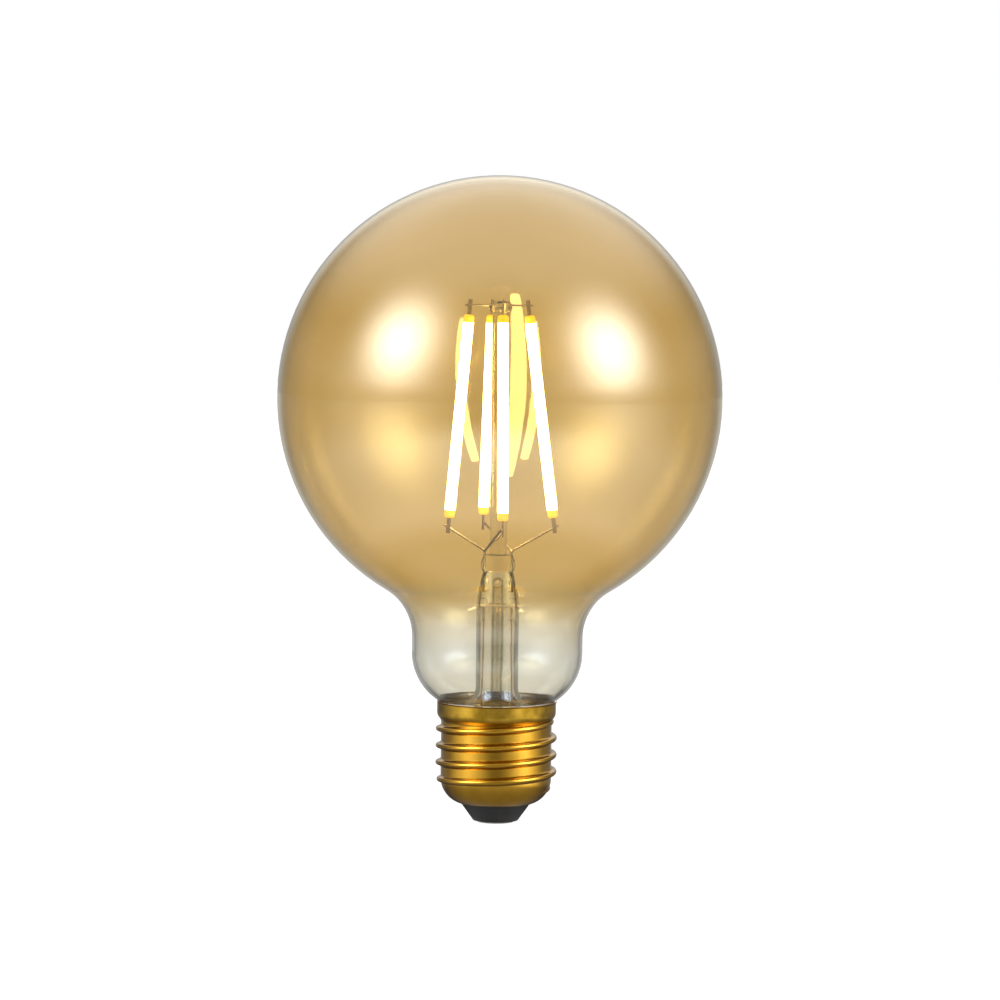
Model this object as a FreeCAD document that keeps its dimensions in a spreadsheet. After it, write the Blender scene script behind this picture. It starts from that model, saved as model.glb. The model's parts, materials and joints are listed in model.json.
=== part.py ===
import FreeCAD, Part
import math
import os
import Sketcher

# A globe bulb, 95 mm across, with four glowing strips and an E27 screw cap.
# Millimetres, +Z up, origin at the middle of the centre contact's flat underside.
# The bulb stands on its cap, as it does in the photograph, and the front is towards -Y.

# Driving dimensions: name, value, what it is
SIZES = [
    ("globe_diameter", 95.0, "outside of the blown globe"),
    ("glass_wall", 0.8, "wall of the blown glass"),
    ("neck_diameter", 36.6, "outside of the glass neck"),
    ("neck_fillet", 11.7, "hollow curve between globe and neck"),
    ("neck_length", 3.36, "straight part of the neck"),
    ("shoulder_radius", 12.25, "curve of the neck down to the cap"),
    ("seal_fillet", 1.0, "curve into the neck end"),
    ("seal_length", 1.93, "straight neck end, up to that curve"),
    ("seal_depth", 2.75, "lower end of the glass neck below the cap's rim"),
    ("stem_length", 34.15, "lower end of the neck to the upper face of the press"),
    ("stem_wall", 0.9, "wall of the stem tube and its flare"),
    ("flare_radius", 5.0, "curve of the stem's flare"),
    ("press_length", 9.2, "pressed part of the stem tube"),
    ("press_straight", 3.6, "press at its final width"),
    ("press_margin", 0.35, "lead wire to the side of the press"),
    ("press_thickness", 4.4, "press, front to back"),
    ("cavity_roof", 0.9, "glass between the cavity of the stem tube and the press"),
    ("bead_diameter", 1.7, "glass bead round a lead wire"),
    ("bead_length", 3.4, "glass bead along a lead wire"),
    ("bead_drop", 2.1, "middle of the glass beads below the upper face of the press"),
    ("exhaust_diameter", 2.7, "outside of the exhaust tube"),
    ("exhaust_wall", 0.55, "wall of the exhaust tube"),
    ("exhaust_tip_gap", 2.5, "driver board to the melted-off tip of the exhaust tube"),
    ("exhaust_hole_rise", 3.2, "start of the press to the hole where air left the globe"),
    ("exhaust_hole_diameter", 1.8, "that side hole"),
    ("rod_diameter", 3.6, "glass rod above the press"),
    ("rod_bead_diameter", 5.0, "melted head of the glass rod"),
    ("rod_bead_drop", 0.5, "middle of that head below the upper wire"),
    ("rod_bead_thickness", 2.9, "that head, top to bottom"),
    ("lead_spacing", 5.7, "between the two lead wires"),
    ("lead_diameter", 0.5, "inner lead wires and branches"),
    ("lead_margin", 1.7, "lead wire to the outside of the stem tube"),
    ("lead_rise", 0.9, "press to the corner where a lead wire turns outwards"),
    ("lead_bend_radius", 1.3, "bend at that corner"),
    ("lead_tail", 1.0, "wire beyond a weld"),
    ("knot_drop", 3.2, "weld of inner and outer lead wire below the roof of the cavity"),
    ("knot_diameter", 0.8, "that weld"),
    ("weld_gap", 0.02, "weld metal between a wire and what it is welded to"),
    ("outer_lead_diameter", 0.3, "thin copper wire below the weld"),
    ("outer_lead_spread", 0.5, "outward lean of that wire down to the stem's flare"),
    ("top_wire_diameter", 0.4, "crossed wires at the head of the rod"),
    ("top_wire_gap", 0.1, "glass between the crossed wires"),
    ("foot_weld_rise", 5.9, "press to the weld at the lower end of a strip"),
    ("strip_diameter", 2.3, "glowing strip"),
    ("strip_length", 43.6, "glowing coat, end to end"),
    ("strip_gap", 1.95, "end of the coat to the weld"),
    ("strip_end_radius", 0.6, "rounding at the ends of the coat"),
    ("tab_width", 0.85, "end tab, across"),
    ("tab_thickness", 0.3, "end tab, through"),
    ("tab_over", 1.35, "end tab beyond its weld"),
    ("tab_root", 1.0, "end tab inside the coat"),
    ("substrate_thickness", 0.4, "carrier inside the coat"),
    ("chip_count", 24, "light chips on a carrier"),
    ("chip_length", 0.7, "light chip along the strip"),
    ("chip_width", 0.45, "light chip across the strip"),
    ("chip_height", 0.2, "light chip above its carrier"),
    ("left_azimuth", 186.0, "left strip, degrees round the rod"),
    ("left_head_radius", 6.6, "left strip's upper weld from the axis"),
    ("left_foot_radius", 10.8, "left strip's lower weld from the axis"),
    ("back_azimuth", 107.0, "back strip, degrees round the rod"),
    ("back_head_radius", 6.3, "back strip's upper weld from the axis"),
    ("back_foot_radius", 11.5, "back strip's lower weld from the axis"),
    ("front_azimuth", 274.5, "front strip, degrees round the rod"),
    ("front_head_radius", 6.3, "front strip's upper weld from the axis"),
    ("front_foot_radius", 11.4, "front strip's lower weld from the axis"),
    ("right_azimuth", 4.0, "right strip, degrees round the rod"),
    ("right_head_radius", 5.9, "right strip's upper weld from the axis"),
    ("right_foot_radius", 12.0, "right strip's lower weld from the axis"),
    ("shell_wall", 0.3, "rolled brass sheet"),
    ("thread_root_diameter", 23.8, "screw shell between the threads"),
    ("thread_depth", 1.15, "thread crests above the shell between them"),
    ("thread_pitch", 3.629, "seven threads to the inch"),
    ("thread_drop", 2.14, "first crest, on the right, below the top of the rounded bottom"),
    ("thread_length", 14.05, "first crest to where the shell widens to the collar"),
    ("thread_end_gap", 0.29, "last full crest to where the shell widens"),
    ("thread_runout", 0.35, "part of a turn in which a thread end sinks away"),
    ("crest_radius", 0.55, "rounding of a thread crest"),
    ("ridge_width", 2.9, "thread ridge with its hollow flanks"),
    ("thread_sink", 0.12, "depth to which the ridge's edges reach into the wall"),
    ("collar_step", 0.85, "plain collar outside the shell between the threads"),
    ("collar_fall", 2.2, "slope between thread and collar, upwards"),
    ("collar_height", 2.4, "plain collar, upwards to the rim"),
    ("bowl_radius", 5.6, "rounded bottom of the screw shell"),
    ("bowl_height", 9.44, "where that rounding starts"),
    ("cap_hole_diameter", 15.2, "hole in the bottom of the screw shell"),
    ("insulator_gap", 0.1, "top of the black cone to the edge of that hole"),
    ("insulator_foot_diameter", 9.7, "bottom of the black cone"),
    ("insulator_floor_height", 5.2, "upper face of the insulator inside the cap"),
    ("flange_gap", 0.6, "insulator inside the cap to the shell, at that face"),
    ("contact_diameter", 8.4, "centre contact"),
    ("contact_thickness", 0.35, "centre contact below the insulator"),
    ("contact_edge", 0.3, "bevel round the centre contact"),
    ("contact_shank_diameter", 3.0, "rivet shank of the centre contact"),
    ("cement_gap", 0.55, "glass neck to the inside of the collar"),
    ("cement_depth", 1.0, "capping cement, upwards from the collar's lower end"),
    ("board_inset", 0.4, "driver board to the edge of the insulator that it stands on"),
    ("board_height", 9.8, "driver board, upwards"),
    ("board_thickness", 1.0, "driver board, front to back"),
    ("capacitor_diameter", 6.3, "smoothing capacitor"),
    ("capacitor_length", 7.7, "smoothing capacitor, upwards"),
    ("rectifier_width", 4.7, "bridge rectifier"),
    ("rectifier_height", 3.9, "bridge rectifier, upwards"),
    ("rectifier_depth", 1.5, "bridge rectifier off the board"),
    ("chip_body_width", 4.9, "driver chip"),
    ("chip_body_height", 3.9, "driver chip, upwards"),
    ("chip_body_depth", 1.4, "driver chip off the board"),
    ("resistor_diameter", 1.8, "fusible resistor"),
    ("resistor_length", 4.6, "fusible resistor"),
    ("coil_diameter", 3.6, "choke coil"),
    ("coil_length", 4.4, "choke coil"),
    ("component_lift", 1.0, "board edge to the nearest component"),
    ("component_gap", 2.0, "middle of the board to the components beside it"),
    ("supply_wire_diameter", 0.3, "wires between driver and cap"),
    ("supply_wire_bend", 1.2, "bends of the wire to the rim"),
    ("supply_wire_end", 0.3, "rim above the end of its wire"),
    ("supply_wire_gap", 0.08, "wire to the collar's inner side"),
    ("solder_width", 1.5, "solder dab along the rim"),
    ("solder_height", 0.85, "solder dab, upwards"),
    ("solder_depth", 0.9, "solder dab across the rim"),
]

doc = FreeCAD.newDocument("GlobeBulb")
sheet = doc.addObject("Spreadsheet::Sheet", "Sizes")
for row, (alias, number, meaning) in enumerate(SIZES, start=1):
    sheet.set(f"A{row}", alias)
    sheet.set(f"B{row}", str(number))
    sheet.set(f"C{row}", meaning)
    sheet.setAlias(f"B{row}", alias)
doc.recompute()


class Size:
    """A length with the spreadsheet expression that it comes from."""

    def __init__(self, value, text):
        self.value = float(value)
        self.text = text

    @staticmethod
    def of(other):
        return other if isinstance(other, Size) else Size(other, repr(other))

    def __add__(self, other):
        other = Size.of(other)
        return Size(self.value + other.value, f"({self.text} + {other.text})")

    def __sub__(self, other):
        other = Size.of(other)
        return Size(self.value - other.value, f"({self.text} - {other.text})")

    def __mul__(self, other):
        other = Size.of(other)
        return Size(self.value * other.value, f"({self.text} * {other.text})")

    def __truediv__(self, other):
        other = Size.of(other)
        return Size(self.value / other.value, f"({self.text} / {other.text})")


def size(alias):
    return Size(sheet.get(alias), "Sizes." + alias)


def square_root(square):
    return Size(math.sqrt(square.value), f"sqrt({square.text})")


def other_side(longest, side):
    """Third side of a right-angled triangle."""
    return square_root(longest * longest - side * side)


NOUGHT = Size(0, "0")

# Heights that follow from the driving dimensions, from the bottom up
BOARD_TOP = size("insulator_floor_height") + size("board_height")
THREAD_START = size("bowl_height") - size("thread_drop")
THREAD_TOP = THREAD_START + size("thread_length")
COLLAR_BASE = THREAD_TOP + size("collar_fall")
RIM = COLLAR_BASE + size("collar_height")
NECK_END = RIM - size("seal_depth")
PRESS_TOP = NECK_END + size("stem_length")
PRESS_START = PRESS_TOP - size("press_length")
CAVITY_TOP = PRESS_START - size("cavity_roof")
KNOT = CAVITY_TOP - size("knot_drop")
FOOT_WELD = PRESS_TOP + size("foot_weld_rise")
TOP_WIRE = FOOT_WELD + size("strip_length") + size("strip_gap") * 2

# Radii that follow from them
THREAD_ROOT = size("thread_root_diameter") / 2
CREST = THREAD_ROOT + size("thread_depth")
COLLAR = THREAD_ROOT + size("collar_step")
SEAL = COLLAR - size("shell_wall") - size("cement_gap")
STEM = size("lead_spacing") / 2 + size("lead_margin")
CAP_HOLE = size("cap_hole_diameter") / 2

# Rounded bottom of the screw shell
BOWL_CENTRE = (THREAD_ROOT - size("bowl_radius"), size("bowl_height"))


def bowl_meets(wall, radius):
    """Height at which the rounded bottom, set in by a wall, has this radius."""
    return BOWL_CENTRE[1] - other_side(size("bowl_radius") - wall, radius - BOWL_CENTRE[0])


# Profiles in the plane of the axis. A corner is (radius, height) and the form of the
# line to the next corner: None for a straight one, or (centre, arc radius, turn).
def bind(sketch, constraint, length):
    index = sketch.addConstraint(constraint)
    sketch.setExpression(f"Constraints[{index}]", length.text)


def pin_corner(sketch, edge, end, radius, height):
    if radius is NOUGHT:
        sketch.addConstraint(Sketcher.Constraint("PointOnObject", edge, end, -2))
    else:
        bind(sketch, Sketcher.Constraint("DistanceX", -1, 1, edge, end, radius.value), radius)
    if height is NOUGHT:
        sketch.addConstraint(Sketcher.Constraint("PointOnObject", edge, end, -1))
    else:
        bind(sketch, Sketcher.Constraint("DistanceY", -1, 1, edge, end, height.value), height)


def arc_between(start, end, centre, turn):
    middle = FreeCAD.Vector(centre[0].value, centre[1].value, 0)
    first = FreeCAD.Vector(start[0].value, start[1].value, 0) - middle
    last = FreeCAD.Vector(end[0].value, end[1].value, 0) - middle
    if turn < 0:
        first, last = last, first
    circle = Part.Circle(middle, FreeCAD.Vector(0, 0, 1), first.Length)
    angles = [math.atan2(side.y, side.x) for side in (first, last)]
    return Part.ArcOfCircle(circle, *angles)


def axis_sketch(body, name, corners):
    sketch = body.newObject("Sketcher::SketchObject", name)
    plane = [item for item in body.Origin.OriginFeatures if item.Role == "XZ_Plane"][0]
    sketch.AttachmentSupport = [(plane, "")]
    sketch.MapMode = "FlatFace"
    ends = []
    for here, there in zip(corners, corners[1:] + corners[:1]):
        if here[2] is None:
            start = FreeCAD.Vector(here[0].value, here[1].value, 0)
            end = FreeCAD.Vector(there[0].value, there[1].value, 0)
            edge = sketch.addGeometry(Part.LineSegment(start, end), False)
            ends.append((edge, 1, 2))
        else:
            centre, radius, turn = here[2]
            edge = sketch.addGeometry(arc_between(here, there, centre, turn), False)
            ends.append((edge, 1, 2) if turn > 0 else (edge, 2, 1))
    for (edge, _, last), (following, first, _) in zip(ends, ends[1:] + ends[:1]):
        sketch.addConstraint(Sketcher.Constraint("Coincident", edge, last, following, first))
    for (edge, first, _), corner in zip(ends, corners):
        pin_corner(sketch, edge, first, corner[0], corner[1])
        if corner[2] is not None:
            radius = corner[2][1]
            bind(sketch, Sketcher.Constraint("Radius", edge, radius.value), radius)
    return sketch


def turned(name, corners, hollow=None):
    """A body turned from a profile, with a second profile turned out of it."""
    body = doc.addObject("PartDesign::Body", name)
    sketch = axis_sketch(body, name + "_profile", corners)
    solid = body.newObject("PartDesign::Revolution", name + "_turned")
    solid.Profile = sketch
    solid.ReferenceAxis = (sketch, ["V_Axis"])
    solid.Angle = 360
    if hollow is not None:
        sketch = axis_sketch(body, name + "_hollow", hollow)
        groove = body.newObject("PartDesign::Groove", name + "_groove")
        groove.Profile = sketch
        groove.ReferenceAxis = (sketch, ["V_Axis"])
        groove.Angle = 360
    return body


def between(start, end, share):
    """Point on the line from start to end."""
    return (
        start[0] + (end[0] - start[0]) * share,
        start[1] + (end[1] - start[1]) * share,
    )


# Blown glass: globe, neck, and the end that is sealed to the stem's flare
def globe_corners(wall):
    """Outline of the glass, set in by a wall."""
    globe = size("globe_diameter") / 2 - wall
    neck = size("neck_diameter") / 2 - wall
    fillet = size("neck_fillet") + wall
    shoulder = size("shoulder_radius") - wall
    seal = SEAL - wall
    seal_curve = size("seal_fillet") + wall
    tuck = (seal + seal_curve, NECK_END + size("seal_length"))
    rise = other_side(shoulder + seal_curve, tuck[0] - (neck - shoulder))
    bend = (neck - shoulder, tuck[1] + rise)
    hollow = (neck + fillet, bend[1] + size("neck_length"))
    middle = (NOUGHT, hollow[1] + other_side(globe + fillet, hollow[0]))
    leave_globe = between(middle, hollow, globe / (globe + fillet))
    leave_shoulder = between(bend, tuck, shoulder / (shoulder + seal_curve))
    return [
        (NOUGHT, middle[1] + globe, (middle, globe, -1)),
        (*leave_globe, (hollow, fillet, 1)),
        (neck, hollow[1], None),
        (neck, bend[1], (bend, shoulder, -1)),
        (*leave_shoulder, (tuck, seal_curve, 1)),
        (seal, tuck[1], None),
        (seal, NECK_END, None),
        (NOUGHT, NECK_END, None),
    ]


def make_globe():
    return turned("glass_globe", globe_corners(NOUGHT), globe_corners(size("glass_wall")))


# Plain solids whose sizes are bound to the sheet
def placed(item, x=NOUGHT, y=NOUGHT, z=NOUGHT):
    for axis, length in zip("xyz", (x, y, z)):
        if length is not NOUGHT:
            item.setExpression(f"Placement.Base.{axis}", length.text)
    return item


def cylinder(name, diameter, height, **place):
    item = doc.addObject("Part::Cylinder", name)
    item.setExpression("Radius", (diameter / 2).text)
    item.setExpression("Height", height.text)
    return placed(item, **place)


def block(name, length, width, height, **place):
    item = doc.addObject("Part::Box", name)
    item.setExpression("Length", length.text)
    item.setExpression("Width", width.text)
    item.setExpression("Height", height.text)
    return placed(item, **place)


def fused(name, *items):
    item = doc.addObject("Part::MultiFuse", name)
    item.Shapes = list(items)
    return item


def cut(name, base, tool):
    item = doc.addObject("Part::Cut", name)
    item.Base = base
    item.Tool = tool
    return item


def shaped(name, shape):
    item = doc.addObject("Part::Feature", name)
    item.Shape = shape
    return item


def vector(*parts):
    return FreeCAD.Vector(*[float(part) for part in parts])


def value(alias):
    return size(alias).value


# Bent wires
def bent_path(points, bend):
    """Straight runs joined by tangent arcs."""
    edges = []
    start = points[0]
    for before, corner, after in zip(points, points[1:], points[2:]):
        back = (before - corner).normalize()
        ahead = (after - corner).normalize()
        half = back.getAngle(ahead) / 2
        reach = bend / math.tan(half)
        first = corner + back * reach
        last = corner + ahead * reach
        inward = (back + ahead).normalize()
        middle = corner + inward * (bend / math.sin(half) - bend)
        edges.append(Part.LineSegment(start, first).toShape())
        edges.append(Part.Arc(first, middle, last).toShape())
        start = last
    edges.append(Part.LineSegment(start, points[-1]).toShape())
    return Part.Wire(edges)


def facing(start, end):
    """Placement at start whose z points to end."""
    return FreeCAD.Placement(start, FreeCAD.Rotation(vector(0, 0, 1), end - start))


def bent_wire(name, points, diameter, bend):
    path = shaped(name + "_path", bent_path(points, bend))
    ring = doc.addObject("Part::Circle", name + "_ring")
    ring.setExpression("Radius", (diameter / 2).text)
    ring.Placement = facing(points[0], points[1])
    wire = doc.addObject("Part::Sweep", name)
    wire.Sections = [ring]
    wire.Spine = (path, [f"Edge{number}" for number in range(1, len(path.Shape.Edges) + 1)])
    wire.Solid = True
    wire.Frenet = True
    return wire


def straight_wire(name, start, end, diameter):
    wire = doc.addObject("Part::Cylinder", name)
    wire.setExpression("Radius", (diameter / 2).text)
    wire.Height = (end - start).Length
    wire.Placement = facing(start, end)
    return wire


# Light strips: each stands on a radius of the rod, foot further out than head
STRIPS = ["left", "back", "front", "right"]


def strip_frame(side):
    """Foot and head weld of a strip, with its radial and sideways directions."""
    turn = math.radians(value(side + "_azimuth"))
    radial = vector(math.cos(turn), math.sin(turn), 0)
    foot = radial * value(side + "_foot_radius") + vector(0, 0, FOOT_WELD.value)
    head = radial * value(side + "_head_radius") + vector(0, 0, TOP_WIRE.value)
    return foot, head, radial, vector(-math.sin(turn), math.cos(turn), 0)


def strip_placement(side, x=0.0, y=0.0, z=0.0):
    """Local z runs up the strip from the lower end of its coat, local x points outwards."""
    foot, head, _, sideways = strip_frame(side)
    up = (head - foot).normalize()
    outward = sideways.cross(up).normalize()
    base = (foot + head) / 2 - up * (value("strip_length") / 2)
    matrix = FreeCAD.Matrix(
        outward.x, sideways.x, up.x, base.x,
        outward.y, sideways.y, up.y, base.y,
        outward.z, sideways.z, up.z, base.z,
        0, 0, 0, 1,
    )
    corner = FreeCAD.Placement(vector(x, y, z), FreeCAD.Rotation())
    return FreeCAD.Placement(matrix).multiply(corner)


def strip_bar(name, side, thickness, length, bottom):
    """A flat bar in the middle of a strip, with its broad sides facing round the rod."""
    item = block(name, size("tab_width"), thickness, length)
    across = -value("tab_width") / 2
    item.Placement = strip_placement(side, across, -thickness.value / 2, bottom.value)
    return item


def strip_chips(name, side, bottom, length):
    """A row of light chips on one broad side of the carrier."""
    across = value("chip_width")
    above = value("chip_height")
    along = value("chip_length")
    room = length / int(value("chip_count"))
    chips = []
    for number in range(int(value("chip_count"))):
        corner = vector(
            -across / 2,
            value("substrate_thickness") / 2,
            bottom + room * (number + 0.5) - along / 2,
        )
        chips.append(Part.makeBox(across, above, along, corner))
    item = shaped(name, Part.makeCompound(chips))
    item.Placement = strip_placement(side)
    return item


def strip_coat(name, side):
    radius = size("strip_diameter") / 2
    curve = size("strip_end_radius")
    length = size("strip_length")
    coat = turned(
        name,
        [
            (NOUGHT, NOUGHT, None),
            (radius - curve, NOUGHT, ((radius - curve, curve), curve, 1)),
            (radius, curve, None),
            (radius, length - curve, ((radius - curve, length - curve), curve, 1)),
            (radius - curve, length, None),
            (NOUGHT, length, None),
        ],
    )
    coat.Placement = strip_placement(side)
    return coat


def make_strip(side):
    name = side + "_strip_"
    buried = size("tab_root")
    reach = size("strip_gap") + size("tab_over")
    tab_length = buried + reach
    inner_length = size("strip_length") - buried * 2
    tab = size("tab_thickness")
    foot_tab = strip_bar(name + "foot_tab", side, tab, tab_length, reach * -1)
    head_tab = strip_bar(name + "head_tab", side, tab, tab_length, size("strip_length") - buried)
    carrier = strip_bar(name + "carrier", side, size("substrate_thickness"), inner_length, buried)
    chips = strip_chips(name + "chips", side, buried.value, inner_length.value)
    inside = fused(name + "inside", carrier, foot_tab, head_tab, chips)
    coat = cut(name + "coat", strip_coat(name + "coat_body", side), inside)
    return [coat, carrier, chips, foot_tab, head_tab]


# Lead wires: two go through the press, and each has a branch for a second strip
SIDES = {"left": -1, "right": 1}


def weld_point(tab, radial, sideways, origin, diameter, hand):
    """Where a wire from origin passes a strip's tab, on the side that hand gives."""
    way = tab - origin
    lean = abs(way.dot(sideways) / way.dot(radial))
    gap = (value("tab_thickness") + diameter + value("tab_width") * lean) / 2
    return tab + sideways * (hand * (gap + value("weld_gap")))


def foot_weld(side, origin, hand):
    foot, _, radial, sideways = strip_frame(side)
    return weld_point(foot, radial, sideways, origin, value("lead_diameter"), hand)


def head_weld(side, origin, hand):
    _, head, radial, sideways = strip_frame(side)
    return weld_point(head, radial, sideways, origin, value("top_wire_diameter"), hand)


def past(start, end, length):
    """A point beyond end, in line with start."""
    return end + (end - start).normalize() * length


def inner_lead(side, hand):
    across = SIDES[side] * value("lead_spacing") / 2
    knot = vector(across, 0, KNOT.value)
    corner = vector(across, 0, PRESS_TOP.value + value("lead_rise"))
    tail = past(corner, foot_weld(side, corner, hand), value("lead_tail"))
    points = [knot, corner, tail]
    wire = bent_wire(side + "_lead_wire", points, size("lead_diameter"), value("lead_bend_radius"))
    bead = doc.addObject("Part::Sphere", side + "_lead_knot")
    bead.setExpression("Radius", (size("knot_diameter") / 2).text)
    bead.Placement.Base = knot
    return fused(side + "_inner_lead", wire, bead)


def branch(name, side, strip, forward, hand):
    """Wire from a lead to another strip. It starts beside the lead, in front or behind."""
    across = SIDES[side] * value("lead_spacing") / 2
    beside = forward * (value("lead_diameter") + value("weld_gap"))
    start = vector(across, beside, PRESS_TOP.value + value("weld_gap"))
    corner = start + vector(0, 0, value("lead_rise"))
    tail = past(corner, foot_weld(strip, corner, hand), value("lead_tail"))
    return bent_wire(name, [start, corner, tail], size("lead_diameter"), value("lead_diameter"))


def top_wire(name, first, first_hand, second, second_hand, level):
    drop = level * (value("top_wire_diameter") + value("top_wire_gap"))
    lower = vector(0, 0, -drop)
    start = head_weld(first, strip_frame(second)[1], first_hand) + lower
    end = head_weld(second, strip_frame(first)[1], second_hand) + lower
    start, end = past(end, start, value("lead_tail")), past(start, end, value("lead_tail"))
    return straight_wire(name, start, end, size("top_wire_diameter"))


def make_leads():
    return [inner_lead("left", -1), inner_lead("right", 1)]


def make_branches():
    return [
        branch("front_branch_wire", "left", "front", -1, -1),
        branch("back_branch_wire", "right", "back", 1, -1),
    ]


def make_top_wires():
    return [
        top_wire("top_wire_left_right", "left", -1, "right", 1, 0),
        top_wire("top_wire_front_back", "front", -1, "back", -1, 1),
    ]


# Glass rod with a melted head that holds the crossed wires
def make_rod(wires):
    radius = size("rod_diameter") / 2
    base = PRESS_TOP
    bulge = size("rod_bead_thickness") / 2
    bulge_centre = (size("rod_bead_diameter") / 2 - bulge, TOP_WIRE - size("rod_bead_drop"))
    bulge_base = bulge_centre[1] - other_side(bulge, radius - bulge_centre[0])
    rod = turned(
        "rod_with_head",
        [
            (NOUGHT, base, None),
            (radius, base, None),
            (radius, bulge_base, (bulge_centre, bulge, 1)),
            (bulge_centre[0], bulge_centre[1] + bulge, None),
            (NOUGHT, bulge_centre[1] + bulge, None),
        ],
    )
    return cut("glass_rod", rod, fused("rod_wires", *wires))


# Stem: flared tube whose upper end is pressed round the wires, the rod and the exhaust tube
def stem_body():
    wall = size("stem_wall")
    inside = STEM - wall
    curve = size("flare_radius")
    lip = SEAL - size("glass_wall")
    level = NECK_END + wall + curve
    centre = (STEM + curve, level)
    return turned(
        "stem_tube_body",
        [
            (STEM, PRESS_START, None),
            (NOUGHT, PRESS_START, None),
            (NOUGHT, CAVITY_TOP, None),
            (inside, CAVITY_TOP, None),
            (inside, level, (centre, curve + wall, 1)),
            (centre[0], NECK_END, None),
            (lip, NECK_END, None),
            (lip, NECK_END + wall, None),
            (centre[0], NECK_END + wall, (centre, curve, -1)),
            (STEM, level, None),
        ],
    )


def oval(name, across, through, height):
    item = doc.addObject("Part::Ellipse", name)
    item.setExpression("MajorRadius", (across / 2).text)
    item.setExpression("MinorRadius", (through / 2).text)
    return placed(item, z=height)


def make_stem(leads):
    width = size("lead_spacing") + size("press_margin") * 2
    thickness = size("press_thickness")
    round_end = oval("press_round_end", STEM * 2, STEM * 2, PRESS_START)
    waist_end = oval("press_waist", width, thickness, PRESS_TOP - size("press_straight"))
    top_end = oval("press_top", width, thickness, PRESS_TOP)
    pieces = [stem_body()]
    for name, sections in (("press_taper", [round_end, waist_end]), ("press", [waist_end, top_end])):
        loft = doc.addObject("Part::Loft", name)
        loft.Sections = sections
        loft.Solid = True
        loft.Ruled = True
        pieces.append(loft)
    for side, sign in SIDES.items():
        bead = doc.addObject("Part::Ellipsoid", side + "_glass_bead")
        bead.setExpression("Radius1", (size("bead_length") / 2).text)
        bead.setExpression("Radius2", (size("bead_diameter") / 2).text)
        bead.setExpression("Radius3", (size("bead_diameter") / 2).text)
        middle = PRESS_TOP - size("bead_drop")
        pieces.append(placed(bead, x=size("lead_spacing") / 2 * sign, z=middle))
    hole_level = PRESS_START + size("exhaust_hole_rise")
    bore_diameter = size("exhaust_diameter") - size("exhaust_wall") * 2
    bore = cylinder("exhaust_bore", bore_diameter, hole_level - CAVITY_TOP, z=CAVITY_TOP)
    hole = cylinder("exhaust_side_hole", size("exhaust_hole_diameter"), STEM * 2)
    hole.Placement.Rotation = FreeCAD.Rotation(vector(1, 0, 0), 90)
    placed(hole, z=hole_level)
    tools = fused("stem_holes", bore, hole, *leads)
    return cut("stem_tube", fused("stem_glass", *pieces), tools)


def make_exhaust_tube():
    outside = size("exhaust_diameter") / 2
    inside = outside - size("exhaust_wall")
    tip = BOARD_TOP + size("exhaust_tip_gap")
    top = CAVITY_TOP
    return turned(
        "exhaust_tube",
        [
            (NOUGHT, tip, ((NOUGHT, tip + outside), outside, 1)),
            (outside, tip + outside, None),
            (outside, top, None),
            (inside, top, None),
            (inside, tip + outside, ((NOUGHT, tip + outside), inside, -1)),
            (NOUGHT, tip + size("exhaust_wall"), None),
        ],
    )


# Screw shell: brass sheet with a rolled round thread, the same form inside and out
def shell_corners(wall, floor, top):
    """Outline of the shell without its thread, set in by a wall."""
    collar = COLLAR - wall
    thread_root = THREAD_ROOT - wall
    fall = size("collar_fall")
    step = collar - thread_root
    curve = (fall * fall + step * step) / (step * 4)
    half_way = (collar - step / 2, COLLAR_BASE - fall / 2)
    return [
        (NOUGHT, top, None),
        (collar, top, None),
        (collar, COLLAR_BASE, ((collar - curve, COLLAR_BASE), curve, -1)),
        (*half_way, ((thread_root + curve, THREAD_TOP), curve, 1)),
        (thread_root, THREAD_TOP, None),
        (thread_root, BOWL_CENTRE[1], (BOWL_CENTRE, size("bowl_radius") - wall, -1)),
        (CAP_HOLE, bowl_meets(wall, CAP_HOLE), None),
        (CAP_HOLE, floor, None),
        (NOUGHT, floor, None),
    ]


def ridge_section(inset):
    """Thread ridge in the plane of the axis: round crest, hollow flanks, flat back."""
    crest = value("crest_radius") - inset
    middle = CREST.value - value("crest_radius")
    back = THREAD_ROOT.value - value("thread_sink") - inset
    half = value("ridge_width") / 2
    rise = middle - back - inset
    flank = (rise**2 + half**2 - value("crest_radius") ** 2) / (2 * (rise + value("crest_radius")))
    flank += inset
    along = math.atan2(half, back + flank - middle)
    touch = (middle + crest * math.cos(along), crest * math.sin(along))
    flank_turn = math.pi + along / 2
    on_flank = (back + flank + flank * math.cos(flank_turn), half + flank * math.sin(flank_turn))

    def point(radius, height):
        return vector(radius, 0, height)

    edges = [
        Part.Arc(point(back, half), point(*on_flank), point(*touch)),
        Part.Arc(point(*touch), point(middle + crest, 0), point(touch[0], -touch[1])),
        Part.Arc(point(touch[0], -touch[1]), point(on_flank[0], -on_flank[1]), point(back, -half)),
        Part.LineSegment(point(back, -half), point(back, half)),
    ]
    return Part.Wire([edge.toShape() for edge in edges])


def carrying_radius(height):
    """Outside of the shell below the collar, which recedes in the rounded bottom."""
    bowl = value("bowl_radius")
    below = max(0.0, value("bowl_height") - height)
    recess = bowl - math.sqrt(max(0.0, bowl * bowl - below * below))
    return THREAD_ROOT.value - recess


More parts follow.
